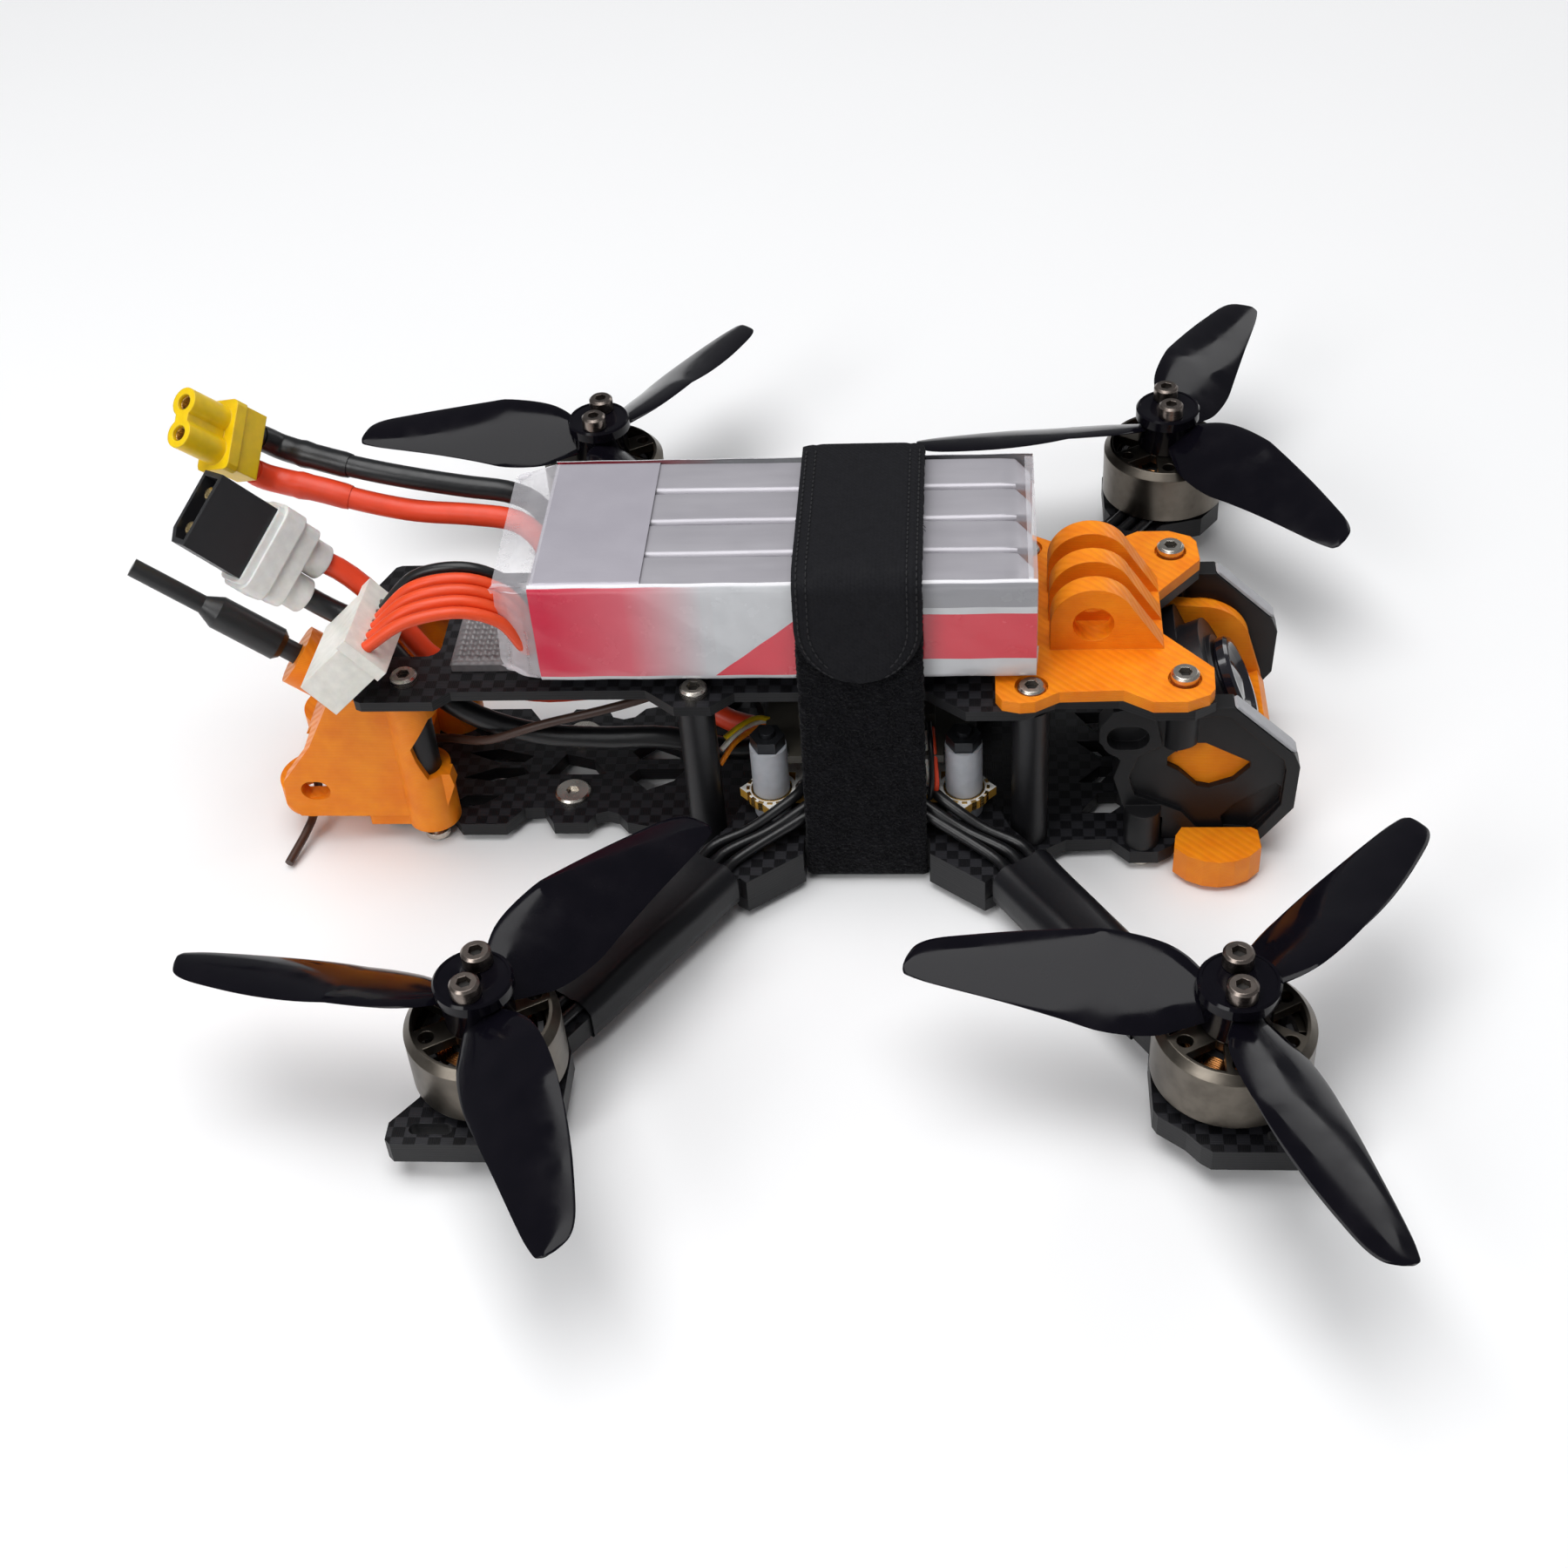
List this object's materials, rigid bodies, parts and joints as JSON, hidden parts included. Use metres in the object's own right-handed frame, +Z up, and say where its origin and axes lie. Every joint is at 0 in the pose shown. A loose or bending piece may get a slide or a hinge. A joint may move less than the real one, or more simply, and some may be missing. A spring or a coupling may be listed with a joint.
{
  "type": "racing quadcopter",
  "caption": "Small racing quadcopter with a carbon frame, three-blade propellers, a tilting camera and a strapped battery pack.",
  "frame": {"origin": "on the resting plane, midway between the four motor axes", "axes": "+X to the nose, +Y to the left side, +Z up"},
  "size_m": [0.166, 0.1884, 0.0607],
  "materials": {
    "carbon": "woven carbon laminate, satin faces, layered edges",
    "black_aluminium": "black anodised",
    "steel": "turned steel",
    "pad_rubber": "textured grip sheet",
    "cell_foil": "pouch foil",
    "wrap_film": "clear shrink film over a printed label",
    "strap_webbing": "hook-and-loop webbing",
    "strap_tab": "smooth stitched tape",
    "orange_print": "3-D printed, fine layer lines",
    "cage_plastic": "moulded, satin",
    "camera_plastic": "moulded, satin",
    "lens_glass": "coated glass in a black barrel",
    "board_white": "white solder mask with gold pads",
    "chip_plastic": "moulded packages",
    "grommet_rubber": "silicone",
    "black_steel": "blackened steel",
    "transmitter": "black board with a metal can",
    "receiver": "clear film over a small board",
    "antenna_rubber": "smooth jacket",
    "coax_jacket": "smooth jacket",
    "aerial_jacket": "thin jacket",
    "red_silicone": "silicone jacket",
    "black_silicone": "silicone jacket",
    "plug_black": "moulded nylon with gold pins",
    "boot_white": "translucent moulded nylon",
    "socket_yellow": "moulded nylon",
    "balance_wires": "silicone jackets, one black",
    "plug_white": "moulded nylon",
    "sleeve_film": "shrunk sleeve",
    "motor_base_metal": "dark anodised",
    "stator_steel": "coated laminations",
    "copper": "enamelled copper wire",
    "bell_metal": "grey anodised, machined",
    "prop_plastic": "moulded, glossy"
  },
  "bodies": {
    "frame": {"base_plate": "carbon", "arm_rear_right": "carbon", "arm_front_right": "carbon", "arm_front_left": "carbon", "arm_rear_left": "carbon", "top_plate": "carbon", "standoffs": "black_aluminium", "frame_screws_top": "steel", "frame_screws_bottom": "steel", "battery_pad": "pad_rubber", "battery_cells": "cell_foil", "battery_wrap": "wrap_film", "battery_strap": "strap_webbing", "strap_tab": "strap_tab", "rear_mount": "orange_print", "action_camera_mount": "orange_print", "cage_right": "cage_plastic", "cage_left": "cage_plastic", "front_bumpers": "orange_print", "flight_board": "board_white", "board_chips": "chip_plastic", "board_grommets": "grommet_rubber", "board_screws": "black_steel", "video_transmitter": "transmitter", "receiver": "receiver", "video_antenna": "antenna_rubber", "video_coax": "coax_jacket", "receiver_antenna": "aerial_jacket", "power_lead_red": "red_silicone", "power_lead_black": "black_silicone", "power_plug": "plug_black", "plug_boot": "boot_white", "battery_lead_red": "red_silicone", "battery_lead_black": "black_silicone", "battery_socket": "socket_yellow", "balance_leads": "balance_wires", "balance_plug": "plug_white", "arm_sleeves": "sleeve_film", "motor_wires": "black_silicone", "motor_screws": "steel", "motor_bases": "motor_base_metal", "motor_bearings": "steel", "motor_stators": "stator_steel", "motor_windings": "copper"},
    "rotor_rear_right": {"bell_rear_right": "bell_metal", "prop_rear_right": "prop_plastic", "prop_screws_rear_right": "steel"},
    "rotor_front_right": {"bell_front_right": "bell_metal", "prop_front_right": "prop_plastic", "prop_screws_front_right": "steel"},
    "rotor_front_left": {"bell_front_left": "bell_metal", "prop_front_left": "prop_plastic", "prop_screws_front_left": "steel"},
    "rotor_rear_left": {"bell_rear_left": "bell_metal", "prop_rear_left": "prop_plastic", "prop_screws_rear_left": "steel"},
    "camera": {"camera_body": "camera_plastic", "camera_lens": "lens_glass", "camera_bracket": "orange_print", "camera_pins": "steel"}
  },
  "joints": [
    {"name": "spin_rear_right", "type": "hinge", "parent": "frame", "child": "rotor_rear_right", "pos_m": [-0.0435, -0.05875, 0.012], "axis": [0, 0, 1], "continuous": true},
    {"name": "spin_front_right", "type": "hinge", "parent": "frame", "child": "rotor_front_right", "pos_m": [0.0435, -0.05875, 0.012], "axis": [0, 0, 1], "continuous": true},
    {"name": "spin_front_left", "type": "hinge", "parent": "frame", "child": "rotor_front_left", "pos_m": [0.0435, 0.05875, 0.012], "axis": [0, 0, 1], "continuous": true},
    {"name": "spin_rear_left", "type": "hinge", "parent": "frame", "child": "rotor_rear_left", "pos_m": [-0.0435, 0.05875, 0.012], "axis": [0, 0, 1], "continuous": true},
    {"name": "camera_tilt", "type": "hinge", "parent": "frame", "child": "camera", "pos_m": [0.0446, 0, 0.0154], "axis": [0, -1, 0], "range_deg": [-25, 20]}
  ]
}
